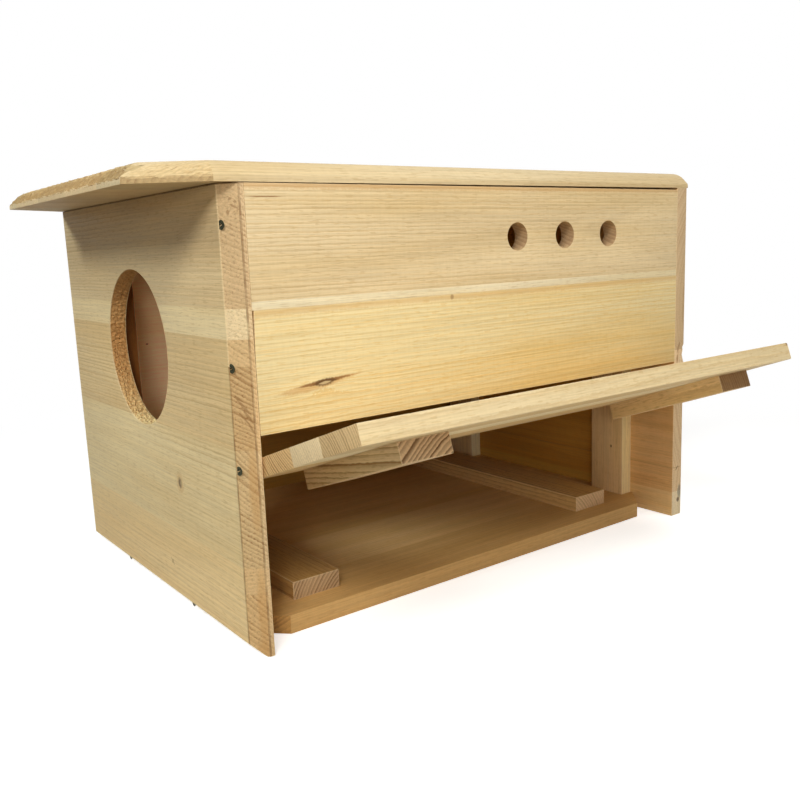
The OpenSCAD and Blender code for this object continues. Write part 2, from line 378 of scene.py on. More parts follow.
# Place on the bevel, length and width in millimetres, and turn in degrees
CURLS = ((7.9, 389, 2.0, 1.2, 20), (10.7, 386.8, 1.6, 1.2, 0), (10.0, 383, 4.4, 1.1, -28),
         (6.2, 378.7, 1.5, 2.4, 0))
TEARS = ((7.5, 221, 10, 1.5, -50), (9.8, 213, 9, 1.4, -55), (7.0, 212, 7, 1.1, -50), (11, 204, 7, 1.2, -62),
         (5.0, 228, 6, 1.0, -40))
for x, z, length, width, turn in CURLS + TEARS:
    wall_stains.append(Stain(on_bevel(x, z), *on_plane(bevel_along, Z, turn), length * MM, width * MM,
                             KNOT_BROWN, 0.55, True))
# Darker late wood towards the foot of the bevel
for x, z, length, width in ((10.5, 150, 42, 5), (10.5, 44, 40, 5), (9.5, 5, 11, 7)):
    wall_stains.insert(0, Stain(on_bevel(x, z), Z, bevel_along, length * MM, width * MM, KNOT_HALO_AND_SHADE, 0.4))
wall_swirls = (
    Swirl(wall_knot, Y, Z, 5 * MM, 5 * MM, 4 * MM),
    Swirl(curl, bevel_along, Z, 4 * MM, 4 * MM, 5 * MM),
)

# Marks on the front edge of the end wall, a nail in a cleat, and a speck on the back wall
end_stains = (
    Stain(Vector((right_x, 0, 0.062)), Y, Z, back_y - front_y, 0.7 * MM, KNOT_BROWN, 0.35),
    Stain(Vector((0.2905, front_y, 0.061)), *on_plane(X, Z, 52), 4.2 * MM, 1.1 * MM, KNOT_BROWN, 0.85,
          True),
    Stain(Vector((0.2965, front_y, 0.030)), Z, X, 10 * MM, 4.0 * MM, BLUE_STAIN, 0.65),
    Stain(Vector((0.2940, front_y, 0.0195)), Z, X, 3.4 * MM, 3.0 * MM, KNOT_DARK, 0.8),
    Stain(Vector((0.2895, front_y, 0.213)), *on_plane(X, Z, 68), 8 * MM, 2.0 * MM, KNOT_BROWN, 0.55, True),
    Stain(Vector((0.2875, front_y, 0.199)), Z, X, 6 * MM, 1.8 * MM, KNOT_BROWN, 0.6, True),
)
cleat_nail = Stain(Vector((0.264, -0.1385, 0.0802)), Z, Y, 2.2 * MM, 1.5 * MM, KNOT_DARK, 0.75)
# A bruise at the corner of the hatch's lip
lip_low, lip_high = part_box("hatch_board_bottom")
lip_corner = Vector((lip_high.x, lip_low.y + board_t * math.sin(hatch_rise), lip_high.z))
lip_mark = Stain(lip_corner, X, X.cross(HATCH_OUT), 4 * MM, 3.5 * MM, KNOT_BROWN, 0.8)
back_speck = Stain(Vector((-0.215, 0.202, 0.238)), X, Z, 2.4 * MM, 1.2 * MM, KNOT_DARK, 0.6)

upper_panel_wood = softwood("upper_panel_wood", PANEL, (groove, roof_shadow_band))
lower_panel_wood = softwood("lower_panel_wood", LOWER, (joint_band, *panel_knot, joint_dot), (panel_swirl,))
wall_wood = softwood("wall_wood", WALL, wall_stains, wall_swirls)
end_wood = softwood("end_wood", END, end_stains)
back_wood = softwood("back_wood", BACK, (back_speck,))
roof_wood = softwood("roof_wood", ROOF)
hatch_wood = softwood("hatch_wood", HATCH, (lip_mark,))
floor_wood = softwood("floor_wood", FLOOR)
batten_wood = softwood("batten_wood", BATTEN)
cleat_wood = softwood("cleat_wood", CLEAT, (cleat_nail,))


ZINC_DARK = (0.012, 0.013, 0.006)
ZINC_PALE = (0.075, 0.075, 0.04)


def zinc_steel():
    """Dull zinc plating, blotched darker and paler."""
    material = bpy.data.materials.new("zinc_steel")
    material.use_nodes = True
    n = Nodes(material.node_tree)
    shader = material.node_tree.nodes["Principled BSDF"]
    place = n.add("ShaderNodeTexCoord").outputs["Object"]
    blotch = n.noise(n.vector("MULTIPLY", place, (900.0, 900.0, 900.0)), 3.0).outputs[0]
    n.feed(shader.inputs["Base Color"], n.mix(blotch, rgba(ZINC_DARK), rgba(ZINC_PALE)))
    n.feed(shader.inputs["Roughness"], n.step(blotch, 0.3, 0.7, 0.28, 0.5))
    shader.inputs["Metallic"].default_value = 1.0
    bump = n.add("ShaderNodeBump", {"Strength": 0.2, "Distance": 0.1 * MM, "Height": blotch})
    n.feed(shader.inputs["Normal"], bump.outputs[0])
    return material


screw_steel = zinc_steel()


# Boards

NEUTRAL = (1.0, 1.0, 1.0)
# Inner faces are tinted darker and warmer: painted shade for the dim inside of the box.
INSIDE_PAINTED_SHADE = (0.93, 0.68, 0.22)
FACING = 0.9
ASLANT = 0.3
PALE_ARRIS = 1
DARK_ARRIS = -1
Stave = namedtuple("Stave", "low high pith_across pith_through tint rings", defaults=(NEUTRAL, 1.0))


ARRIS_EASE = 0.7 * MM
PANEL_EASE = 0.5 * MM
WORN_EASE = 1.0 * MM


def eased_copy(node, ease, shape=None):
    """The node's solid with its arrises eased, after its own small changes of shape."""
    bm = bmesh.new()
    bm.from_mesh(frame["nodes"][node].data)
    bmesh.ops.remove_doubles(bm, verts=bm.verts, dist=MERGE_DISTANCE)
    arris = bm.faces.layers.int.new("arris")
    if shape:
        shape(bm)
    bmesh.ops.dissolve_limit(bm, angle_limit=FLAT_ANGLE, verts=bm.verts, edges=bm.edges)
    sharp = [edge for edge in bm.edges if edge.calc_face_angle(0) > SHARP_ANGLE]
    sharp = [edge for edge in sharp if edge.calc_length() > SHORT_EDGE]
    made = bmesh.ops.bevel(bm, geom=sharp, offset=ease, segments=2, profile=0.6,
                           affect="EDGES", clamp_overlap=True)
    for face in made["faces"]:
        face[arris] = PALE_ARRIS
    return bm


def divide(bm, level, axis):
    """Splits the faces where a plane across an axis meets them."""
    everything = list(bm.verts) + list(bm.edges) + list(bm.faces)
    bmesh.ops.bisect_plane(bm, geom=everything, plane_co=level * axis, plane_no=axis)


def facing(direction, tint, rings=1.0):
    """Tints the faces that look one way, and makes their rings fainter or stronger."""
    def tone(face):
        return (tint, rings) if face.normal.dot(direction) > FACING else (NEUTRAL, 1.0)
    return tone


def write_grain(bm, grain, across, staves, seed, tone):
    """Splits the faces at the glue joints and gives each stave its own place in its log."""
    through = grain.cross(across)
    for stave in staves[1:]:
        divide(bm, stave.low, across)
    place = bm.loops.layers.float_vector.new("grain_place")
    figure = bm.loops.layers.float_vector.new("grain_figure")
    tint = bm.loops.layers.float_color.new("stave_tint")
    arris = bm.faces.layers.int["arris"]
    bm.normal_update()
    chooser = random.Random(seed)
    seeds = [chooser.random() for _ in staves]
    reach = [v.co.dot(through) for v in bm.verts]
    middle = (min(reach) + max(reach)) / 2
    for face in bm.faces:
        height = face.calc_center_median().dot(across)
        index = max(i for i, s in enumerate(staves) if i == 0 or s.low <= height)
        stave = staves[index]
        centre = (stave.low + stave.high) / 2
        cut_across = abs(face.normal.dot(grain))
        toned, rings = tone(face) if tone else (NEUTRAL, 1.0)
        colour = tuple(a * b for a, b in zip(stave.tint, toned))
        for loop in face.loops:
            co = loop.vert.co
            loop[place] = Vector((co.dot(grain), co.dot(across) - centre - stave.pith_across,
                                  co.dot(through) - middle - stave.pith_through))
            loop[figure] = Vector((seeds[index], cut_across, face[arris]))
            loop[tint] = (*colour, stave.rings * rings)


def finish_piece(bm, name, body, material, replaced=None):
    for edge in bm.edges:
        edge.smooth = edge.calc_face_angle(0) < SMOOTH_ANGLE
    for face in bm.faces:
        face.smooth = True
    mesh = bpy.data.meshes.new(name)
    bm.to_mesh(mesh)
    bm.free()
    mesh.materials.append(material)
    piece = bpy.data.objects.new(name, mesh)
    bpy.context.scene.collection.objects.link(piece)
    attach(piece, body)
    if replaced:
        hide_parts(replaced)
    return piece


def timber(node, body, material, grain, across, staves, ease=ARRIS_EASE, shape=None, tone=None,
           after_ease=None):
    """Replaces a node by its wooden piece. Staves follow each other along the across direction."""
    bm = eased_copy(node, ease, shape)
    if after_ease:
        after_ease(bm)
    write_grain(bm, grain, across, staves, node, tone)
    return finish_piece(bm, node + "_timber", body, material, node)


def one_stave(node, across, pith, tint=NEUTRAL, rings=1.0):
    """A board cut from one piece, with its pith at a place from its middle, in millimetres."""
    low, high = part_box(node)
    middle = (low + high).dot(across) / 2
    return [Stave(middle - board_t, middle + board_t, pith[0] * MM, pith[1] * MM, tint, rings)]


def glued_staves(low, high, width, seed):
    """Staves of about one width from one side of a board to the other, from logs of all sorts."""
    chooser = random.Random(seed)
    count = max(1, round((high - low) / width))
    step = (high - low) / count
    joints = [low + step * (i + chooser.uniform(-0.2, 0.2)) for i in range(1, count)]
    joints = [low] + joints + [high]
    staves = []
    for bottom, top in zip(joints, joints[1:]):
        side = chooser.choice((-1, 1))
        tone = chooser.uniform(0.9, 1.06)
        warm = chooser.uniform(0.94, 1.0)
        staves.append(Stave(bottom, top, side * chooser.uniform(40, 150) * MM,
                            chooser.uniform(-90, 90) * MM, (tone, tone * warm, tone * warm * warm)))
    return staves


# Small changes of shape

pivot_low, pivot_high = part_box("pivot_screw_left")
pivot_y = (pivot_low.y + pivot_high.y) / 2
pivot_z = (pivot_low.z + pivot_high.z) / 2
PIVOT_SEAT = 6 * MM
SLIT_LEFT = 0.7 * MM
SLIT_RIGHT = 2.3 * MM
BOARD_GAP_HIGH = 1.5 * MM
BOARD_GAP_LOW = 0.2 * MM
BOARD_GAP_FOOT = 260 * MM
WALL_SLIT = 0.6 * MM
ROOF_CROWN = 9 * MM
ROOF_BROW = 1.2 * MM
ROOF_END_ROUND = 3 * MM
TEAR_SPACING = 1.5 * MM
TEAR_GRAIN = 2.3 * MM
TEAR_STRETCH = 0.3
TEAR_DEPTH = 1.3 * MM
TIP_SHIFT = 6 * MM
HATCH_END_ROUND = 2.2 * MM
HATCH_THINNER = 1.5 * MM
DARK_ARRIS_TOP = 255 * MM
BORE_SPACING = 1.4 * MM
BORE_GRAIN = 2.0 * MM
BORE_DEPTH = 3.4 * MM
hole_middle = Vector((2 * MM, 256 * MM))
HOLE_REACH = 81 * MM
NEAR = 0.05 * MM
ARRIS_REACH = 1.5 * MM
TIP_REACH = 1.1 * EDGE_BEVEL
SLOPED = 0.25


def fit_entrance_wall(bm):
    """Closes the bore that the pivot screw fills, and leaves a thin joint under the roof."""
    near = {v for v in bm.verts if math.hypot(v.co.y - pivot_y, v.co.z - pivot_z) < PIVOT_SEAT}
    bmesh.ops.delete(bm, geom=[face for face in bm.faces if near.issuperset(face.verts)], context="FACES")
    rim = {vert for edge in bm.edges if edge.is_boundary for vert in edge.verts}
    inner = [vert for vert in rim if vert.co.x > left_x + EDGE_BEVEL]
    flat = [vert for vert in rim if vert.co.x < left_x + NEAR]
    bevel = [vert for vert in rim if vert not in inner and vert.co.y < front_y + EDGE_BEVEL + NEAR]
    for side in (inner, flat, bevel):
        if len(side) > 2:
            middle = sum((vert.co for vert in side), Vector()) / len(side)
            bm.faces.new(sorted(side, key=lambda v: math.atan2(v.co.z - middle.z, v.co.y - middle.y)))
    bmesh.ops.recalc_face_normals(bm, faces=bm.faces)
    for vert in bm.verts:
        if vert.co.z > wall_top - NEAR:
            vert.co.z -= WALL_SLIT


def darken_wall_arrises(bm):
    """Darkens the arrises at the joint with the roof, as painted shade in the slit under it, and the front
    bevel's arrises, the outer one low down only.
    """
    divide(bm, DARK_ARRIS_TOP, Z)
    arris = bm.faces.layers.int["arris"]
    for face in bm.faces:
        centre = face.calc_center_median()
        at_front = abs(centre.y - front_y) + abs(centre.x - left_x - EDGE_BEVEL) < ARRIS_REACH
        at_wall = abs(centre.x - left_x) + abs(centre.y - front_y - EDGE_BEVEL) < ARRIS_REACH
        at_roof = centre.z > wall_top - ARRIS_REACH
        if face[arris] and (at_front or at_roof or at_wall and centre.z < DARK_ARRIS_TOP):
            face[arris] = DARK_ARRIS


def in_bore(face):
    """True on the wall of the entrance hole."""
    centre = face.calc_center_median()
    within = left_x + ARRIS_REACH < centre.x < left_x + board_t - ARRIS_REACH
    return within and (Vector((centre.y, centre.z)) - hole_middle).length < HOLE_REACH


def tear_and_darken_wall(bm):
    """Tears the bore of the entrance hole, more so towards its foot, and darkens the arrises, with painted
    shade at the joint under the roof.
    """
    darken_wall_arrises(bm)
    slice_faces(bm, in_bore, X, BORE_SPACING)
    slice_faces(bm, in_bore, Z, BORE_SPACING)
    slice_faces(bm, in_bore, Y, BORE_SPACING)
    torn = [vert for vert in bm.verts if all(in_bore(face) for face in vert.link_faces)]
    for vert in torn:
        outward = Vector((0, vert.co.y - hole_middle.x, vert.co.z - hole_middle.y)).normalized()
        depth = BORE_DEPTH * (0.65 - 0.35 * outward.z)
        vert.co += depth * noise.noise(vert.co / BORE_GRAIN) * outward


def taper_slit(bm):
    """Lets the slit under the roof widen away from the entrance."""
    top = max(vert.co.z for vert in bm.verts)
    first = min(vert.co.x for vert in bm.verts)
    last = max(vert.co.x for vert in bm.verts)
    for vert in bm.verts:
        if vert.co.z > top - NEAR:
            share = (vert.co.x - first) / (last - first)
            vert.co.z = wall_top - SLIT_LEFT - share * (SLIT_RIGHT - SLIT_LEFT)


def trim_lower_board(bm):
    """Leaves a thin gap between the board and the entrance wall, which closes downwards."""
    first = min(vert.co.x for vert in bm.verts)
    top = max(vert.co.z for vert in bm.verts)
    divide(bm, BOARD_GAP_FOOT, Z)
    for vert in bm.verts:
        if vert.co.x < first + NEAR:
            share = max(0.0, (vert.co.z - BOARD_GAP_FOOT) / (top - BOARD_GAP_FOOT))
            vert.co.x += BOARD_GAP_LOW + share * (BOARD_GAP_HIGH - BOARD_GAP_LOW)


# Depth of the chip in the end wall's front arris at heights above the ground, in millimetres
CHIP = ((195, 0), (196.5, 2.2), (203, 3.4), (209, 1.8), (212, 2.6), (216, 0))


def chip_arris(bm):
    """Breaks a splinter out of the arris beside the front panel."""
    for height, _ in CHIP:
        divide(bm, height * MM, Z)
    for vert in bm.verts:
        on_arris = vert.co.x > right_x - NEAR and vert.co.y < front_y + NEAR
        for height, depth in CHIP:
            if on_arris and abs(vert.co.z - height * MM) < NEAR:
                vert.co.x -= depth * MM


def round_edges(bm, edges, offset):
    bmesh.ops.bevel(bm, geom=edges, offset=offset, segments=5, profile=0.5,
                    affect="EDGES", clamp_overlap=True)


def lies_on(edge, axis, level):
    return all(abs(vert.co[axis] - level) < NEAR for vert in edge.verts)


def soften_roof(bm):
    """Rounds the bevels' crown and foot and the plain end, and lengthens the clip at the back."""
    for vert in bm.verts:
        if vert.co.x < roof_low.x + TIP_REACH and vert.co.y > back_y / 2:
            vert.co.y -= TIP_SHIFT
    bmesh.ops.dissolve_limit(bm, angle_limit=FLAT_ANGLE, verts=bm.verts, edges=bm.edges)
    brow = [edge for edge in bm.edges if lies_on(edge, 2, roof_low.z + EDGE_FLAT)]
    round_edges(bm, brow, ROOF_BROW)
    crown = [edge for edge in bm.edges if lies_on(edge, 2, roof_high.z)]
    crown = [edge for edge in crown if not lies_on(edge, 0, roof_high.x)]
    round_edges(bm, crown, ROOF_CROWN)
    end = [edge for edge in bm.edges if lies_on(edge, 0, roof_high.x) and not lies_on(edge, 2, roof_low.z)]
    round_edges(bm, end, ROOF_END_ROUND)


def slice_faces(bm, chosen, axis, spacing):
    """Cuts the chosen faces into strips across one axis."""
    faces = [face for face in bm.faces if chosen(face)]
    levels = [vert.co.dot(axis) for face in faces for vert in face.verts]
    count = int((max(levels) - min(levels)) / spacing)
    for i in range(1, count):
        faces = [face for face in bm.faces if chosen(face)]
        parts = {part for face in faces for part in (*face.verts, *face.edges, face)}
        level = min(levels) + i * spacing
        bmesh.ops.bisect_plane(bm, geom=list(parts), plane_co=level * axis, plane_no=axis)


def on_sawn_slope(face):
    """True on the bevel over the entrance and on the clipped corners beside it."""
    return face.normal.x < -SLOPED and face.normal.z > SLOPED


def tear_roof_end(bm):
    """Roughens the bevel that cuts across the grain."""
    slice_faces(bm, on_sawn_slope, Y, TEAR_SPACING)
    slice_faces(bm, on_sawn_slope, Z, TEAR_SPACING)
    bm.normal_update()
    torn = [vert for vert in bm.verts if all(on_sawn_slope(face) for face in vert.link_faces)]
    shifts = []
    for vert in torn:
        place = Vector((TEAR_STRETCH * vert.co.x, vert.co.y, vert.co.z)) / TEAR_GRAIN
        shifts.append(TEAR_DEPTH * noise.noise(place) * vert.normal)
    for vert, shift in zip(torn, shifts):
        vert.co += shift


def shape_roof(bm):
    soften_roof(bm)
    tear_roof_end(bm)


def shape_hatch_board(bm):
    """Planes the outer face a little thinner towards the entrance and rounds the other end."""
    bmesh.ops.dissolve_limit(bm, angle_limit=FLAT_ANGLE, verts=bm.verts, edges=bm.edges)
    inward = X.cross(HATCH_OUT)
    outer = min(vert.co.dot(inward) for vert in bm.verts)
    first = min(vert.co.x for vert in bm.verts)
    last = max(vert.co.x for vert in bm.verts)
    for vert in bm.verts:
        if vert.co.dot(inward) < outer + NEAR:
            vert.co += inward * HATCH_THINNER * (last - vert.co.x) / (last - first)
    along = [edge for edge in bm.edges if lies_on(edge, 0, last)]
    along = [edge for edge in along if abs((edge.verts[1].co - edge.verts[0].co).dot(HATCH_OUT)) > board_t]
    round_edges(bm, along, HATCH_END_ROUND)


# Box

PALE = (1.08, 1.11, 1.12)
PALE_LOW = 277 * MM
PALE_HIGH = 302 * MM
BORE_FOOT = Vector((1.0, 1.0, 0.88))
BORE_SIDE = Vector((0.85, 0.64, 0.42))
BEVEL_PALE = (1.08, 1.12, 1.13)
BEVEL_HIGH = (0.98, 0.96, 0.91)
BEVEL_LOW = (0.89, 0.85, 0.77)


def entrance_wall_tone(face):
    """The bore is paler at its foot, the inside is darkened as painted shade, and the bevels darken
    downwards.
    """
    centre = face.calc_center_median()
    if in_bore(face):
        share = min(1.0, max(0.0, (hole_middle.y - centre.z) / HOLE_REACH)) ** 1.5
        return tuple(BORE_SIDE.lerp(BORE_FOOT, share)), 0.8
    if face.normal.x < -ASLANT and abs(face.normal.y) > ASLANT:
        if PALE_LOW < centre.z < PALE_HIGH:
            return BEVEL_PALE, 0.6
        return (BEVEL_HIGH, 0.65) if centre.z > hole_middle.y else (BEVEL_LOW, 1.55)
    return facing(X, INSIDE_PAINTED_SHADE)(face)


entrance_staves = [
    Stave(0, 57 * MM, 110 * MM, 120 * MM, (1.12, 1.08, 1.0), 0.55),
    Stave(57 * MM, 81 * MM, 140 * MM, -30 * MM, (1.12, 1.1, 1.04), 0.3),
    Stave(81 * MM, 184 * MM, 150 * MM, 150 * MM, (1.06, 1.08, 1.06), 0.6),
    Stave(184 * MM, PALE_LOW, 150 * MM, 110 * MM, (1.0, 0.96, 0.88), 0.7),
    Stave(PALE_LOW, PALE_HIGH, 120 * MM, 55 * MM, PALE, 0.6),
    Stave(PALE_HIGH, wall_top, 150 * MM, 90 * MM, (0.93, 0.91, 0.89), 0.8),
]
timber("entrance_wall", "box", wall_wood, Y, Z, entrance_staves, WORN_EASE,
       fit_entrance_wall, entrance_wall_tone, tear_and_darken_wall)
end_staves = [
    Stave(0, 31 * MM, 20 * MM, 150 * MM, (1.07, 1.15, 1.2), 0.6),
    Stave(31 * MM, 62 * MM, -30 * MM, 170 * MM, (1.0, 0.95, 0.88), 0.8),
    Stave(62 * MM, 210 * MM, 25 * MM, 190 * MM, (1.0, 0.96, 0.9)),
    # The darker top stave is painted shade from the roof.
    Stave(210 * MM, wall_top, -40 * MM, 160 * MM, (0.74, 0.69, 0.62), 0.8),
]
end_cleat_low, end_cleat_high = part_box("cleat_front_right")
end_cleat_y = (end_cleat_low.y + end_cleat_high.y) / 2
END_LIT = (0.97, 0.79, 0.65)
END_SHADE = (0.72, 0.46, 0.14)


def split_at_cleat(bm):
    """Divides the inner face behind the cleat, where the painted shade begins."""
    divide(bm, end_cleat_y, Y)


def end_wall_tone(face):
    """Painted shade: the inner face is darker behind the cleat."""
    if face.normal.x > -FACING:
        return NEUTRAL, 1.0
    if face.calc_center_median().y > end_cleat_y:
        return END_SHADE, 0.8
    return END_LIT, 1.2


timber("end_wall", "box", end_wood, Y, Z, end_staves, shape=chip_arris,
       tone=end_wall_tone, after_ease=split_at_cleat)


SHADE_START = left_x + 130 * MM
SHADE_STEP = 10 * MM
SHADE_STEPS = 12
IN_LIGHT = Vector((1.5, 1.31, 1.41))
IN_SHADE = Vector((0.62, 0.42, 0.14))


def split_back_wall(bm):
    """Divides the inner face into strips, for painted light across from the entrance that darkens into
    painted shade away from it.
    """
    for i in range(SHADE_STEPS):
        divide(bm, SHADE_START + i * SHADE_STEP, X)


def back_wall_tone(face):
    """Painted light and shade: the inside is dark near the floor and pale where light falls across from the
    entrance.
    """
    if face.normal.y > -FACING:
        return NEUTRAL, 1.0
    centre = face.calc_center_median()
    share = (centre.x - SHADE_START) / (SHADE_STEPS * SHADE_STEP)
    share = 1.0 if centre.z < wall_top / 4 else min(1.0, max(0.0, share))
    return tuple(IN_LIGHT.lerp(IN_SHADE, share)), 0.12


timber("back_wall", "box", back_wood, X, Z, glued_staves(0, wall_top, 100 * MM, "back"),
       tone=back_wall_tone, after_ease=split_back_wall)


ROOF_STRIP = (1.4, 1.65, 2.2)
ROOF_END = (0.83, 0.82, 0.75)
ROOF_CLIP = (1.08, 1.09, 1.1)
roof_end_y = [v.co.y for v in frame["nodes"]["roof"].data.vertices if v.co.x < roof_low.x + NEAR]


def roof_tone(face):
    """The flat strip of the sawn end is pale, and the clipped corners are brighter than the end."""
    if face.normal.x < -FACING:
        return ROOF_STRIP, 0.2
    if on_sawn_slope(face):
        at_end = min(roof_end_y) < face.calc_center_median().y < max(roof_end_y)
        return (ROOF_END if at_end else ROOF_CLIP), 1.0
    return NEUTRAL, 1.0


timber("roof", "box", roof_wood, X, Y, glued_staves(front_y, back_y, 88 * MM, "roof"),
       shape=shape_roof, tone=roof_tone)
floor_staves = [
    Stave(front_y, -117 * MM, 60 * MM, 80 * MM, (0.95, 0.92, 0.86), 1.2),
    Stave(-117 * MM, -22 * MM, -90 * MM, 60 * MM, (1.1, 1.12, 1.16), 0.9),
    Stave(-22 * MM, 71 * MM, 80 * MM, -70 * MM, (1.04, 1.02, 0.94)),
    Stave(71 * MM, back_y, -60 * MM, 90 * MM, (1.0, 0.96, 0.86)),
]
timber("floor", "box", floor_wood, X, Y, floor_staves)


panel_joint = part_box("front_board_upper")[0].z
VENT_PAINTED_SHADE = (0.74, 0.66, 0.58)


def upper_panel_tone(face):
    """Painted shade darkens the inside and the bores of the vents."""
    centre = face.calc_center_median()
    in_vent = abs(face.normal.y) < ASLANT and panel_joint + board_t < centre.z < wall_top - board_t
    if in_vent and left_x / 2 < centre.x < right_x * 2 / 3:
        return VENT_PAINTED_SHADE, 0.6
    return facing(Y, INSIDE_PAINTED_SHADE)(face)


upper_staves = [
    Stave(panel_joint, panel_joint + 7 * MM, 90 * MM, 30 * MM, (1.1, 1.24, 1.54), 0.12),
    Stave(panel_joint + 7 * MM, wall_top, 130 * MM, 45 * MM, (0.95, 0.965, 1.02)),
]
timber("front_board_upper", "box", upper_panel_wood, X, Z, upper_staves, PANEL_EASE,
       taper_slit, upper_panel_tone)
timber("front_board_lower", "box", lower_panel_wood, X, Z,
       one_stave("front_board_lower", Z, (-140, 60), (0.99, 1.04, 1.06), 0.9), PANEL_EASE,
       trim_lower_board, facing(Y, INSIDE_PAINTED_SHADE))

CLEAT_FRONT = (1.1, 1.32, 1.5)
# The back left cleat's near-black tint is painted shade, for the shade it lies in inside the entrance.
for node, pith, tint in (("cleat_front_left", (40, 60), (1.1, 1.02, 0.92)),
                         ("cleat_back_left", (-60, 30), (0.24, 0.09, 0.02)),
                         ("cleat_front_right", (50, -40), (1.12, 1.01, 0.9)),
                         ("cleat_back_right", (-30, 50), (1.1, 1.02, 0.92))):
    timber(node, "box", cleat_wood, Z, Y, one_stave(node, Y, pith, tint, 0.4),
           tone=facing(-Y, CLEAT_FRONT, 0.6))


BATTEN_SIDE = (0.72, 0.58, 0.4)


def floor_batten_tone(face):
    """Only the ends are pale."""
    return (NEUTRAL, 1.0) if abs(face.normal.y) > FACING else (BATTEN_SIDE, 2.0)


for node, pith, tint, rings in (("floor_batten_left", (60, 40), (0.86, 0.82, 0.74), 0.6),
                                ("floor_batten_right", (-70, 50), (1.24, 1.24, 1.2), 0.35)):
    timber(node, "box", batten_wood, Y, X, one_stave(node, X, pith, tint, rings),
           tone=floor_batten_tone)

# Hatch

BATTEN_SLOPE = math.radians(7)
HATCH_END = (0.96, 0.93, 0.87)
for node, pith, tint, rings in (("hatch_board_top", (90, -50), (0.95, 0.9, 0.8), 1.1),
                                ("hatch_board_middle", (-160, 60), (1.08, 1.19, 1.34), 0.35),
                                ("hatch_board_bottom", (-55, 22), (0.93, 0.94, 0.92), 0.9)):
    timber(node, "hatch", hatch_wood, X, HATCH_OUT,
           one_stave(node, HATCH_OUT, pith, tint, rings), shape=shape_hatch_board,
           tone=facing(-X, HATCH_END, 0.75))
# The left batten's grain runs out through its faces.
for node, pith, tint, rings, slope, end, end_rings in (
        ("hatch_batten_left", (100, -150), NEUTRAL, 3.6, BATTEN_SLOPE, (1.03, 1.0, 0.92), 0.28),
        ("hatch_batten_right", (-120, -20), (1.05, 0.97, 0.82), 0.5, 0.0, (0.55, 0.5, 0.46), 0.7)):
    grain = Matrix.Rotation(slope, 3, "X") @ HATCH_OUT
    timber(node, "hatch", batten_wood, grain, X, one_stave(node, X, pith, tint, rings),
           tone=facing(HATCH_OUT, end, end_rings))


# Screws

HEAD_R = 4.0 * MM
HEAD_DEPTH = 2.3 * MM
CROWN_R = 0.9 * HEAD_R
RIM_DROP = 0.2 * MM
POINT_ROOM = 5 * MM
BEND_DEPTH = 1 * MM
SHANK_R = 1.7 * MM
SHANK_LENGTH = 32 * MM
CROSS_REACH = 2.0 * MM
CROSS_HALF = 0.5 * MM
CROSS_DEPTH = 1.5 * MM
HEAD_SIDES = 32


def ring_of(bm, radius, height, sides):
    turns = [math.tau * i / sides for i in range(sides)]
    return [bm.verts.new((radius * math.cos(a), radius * math.sin(a), height)) for a in turns]


def join_rings(bm, first, second):
    count = len(first)
    for i in range(count):
        j = (i + 1) % count
        bm.faces.new((first[i], first[j], second[j], second[i]))


def screw_mesh(shank):
    """A countersunk screw that points down, with a cross recess in the head, its top at height 0."""
    bm = bmesh.new()
    rim = ring_of(bm, HEAD_R, -RIM_DROP, HEAD_SIDES)
    crown = ring_of(bm, CROWN_R, 0, HEAD_SIDES)
    neck = ring_of(bm, SHANK_R, -HEAD_DEPTH, HEAD_SIDES)
    foot = ring_of(bm, SHANK_R, -shank, HEAD_SIDES)
    join_rings(bm, rim, crown)
    join_rings(bm, neck, rim)
    join_rings(bm, foot, neck)
    tip = bm.verts.new((0, 0, -shank - 2 * SHANK_R))
    for i in range(HEAD_SIDES):
        bm.faces.new((foot[(i + 1) % HEAD_SIDES], foot[i], tip))
    corners = []
    for quarter in range(4):
        turn = Matrix.Rotation(quarter * math.pi / 2, 2)
        for x, y in ((CROSS_REACH, -CROSS_HALF), (CROSS_REACH, CROSS_HALF), (CROSS_HALF, CROSS_HALF)):
            spot = turn @ Vector((x, y))
            corners.append(bm.verts.new((spot.x, spot.y, 0)))
    edges = [bm.edges.get((crown[i], crown[i - 1])) for i in range(HEAD_SIDES)]
    edges += [bm.edges.new((corners[i], corners[i - 1])) for i in range(len(corners))]
    bmesh.ops.triangle_fill(bm, use_beauty=True, use_dissolve=False, edges=edges)
    bottom = [bm.verts.new((v.co.x * 0.5, v.co.y * 0.5, -CROSS_DEPTH)) for v in corners]
    join_rings(bm, corners, bottom)
    bm.faces.new(bottom)
    bmesh.ops.recalc_face_normals(bm, faces=bm.faces)
    return bm


def bring_to_pivot(bm, head, outward):
    """Lays the part of a leaning shank that is beyond the entrance wall along the pivot's axis."""
    start = left_x + board_t - BEND_DEPTH
    divide(bm, start, X)
    for vert in bm.verts:
        if vert.co.x > start - NEAR:
            middle = head + outward * (vert.co.x - head.x) / outward.x
            vert.co += Vector((0, pivot_y - middle.y, pivot_z - middle.z))


def screw(name, head, outward, shank=SHANK_LENGTH, turn=0.4, replaced=None, fit=None):
    bm = screw_mesh(shank)
    attitude = outward.to_track_quat("Z", "Y").to_matrix().to_4x4()
    bm.transform(Matrix.Translation(head) @ attitude @ Matrix.Rotation(turn, 4, "Z"))
    if fit:
        fit(bm, head, outward)
    return finish_piece(bm, name, "box", screw_steel, replaced)


# Heads on the bevels bite in at the arris and lean towards the bevel.
HEAD_SINK = 0.7 * MM
BEVEL_LEAN = math.radians(14)
HEAD_PROUD = 0.1 * MM
BEVEL_HEAD_X = left_x + 1.12 * MM
BEVEL_HEAD_IN = 10.9 * MM
plain_head_x = right_x + HEAD_PROUD
pivot_right_low, pivot_right_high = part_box("pivot_screw_right")


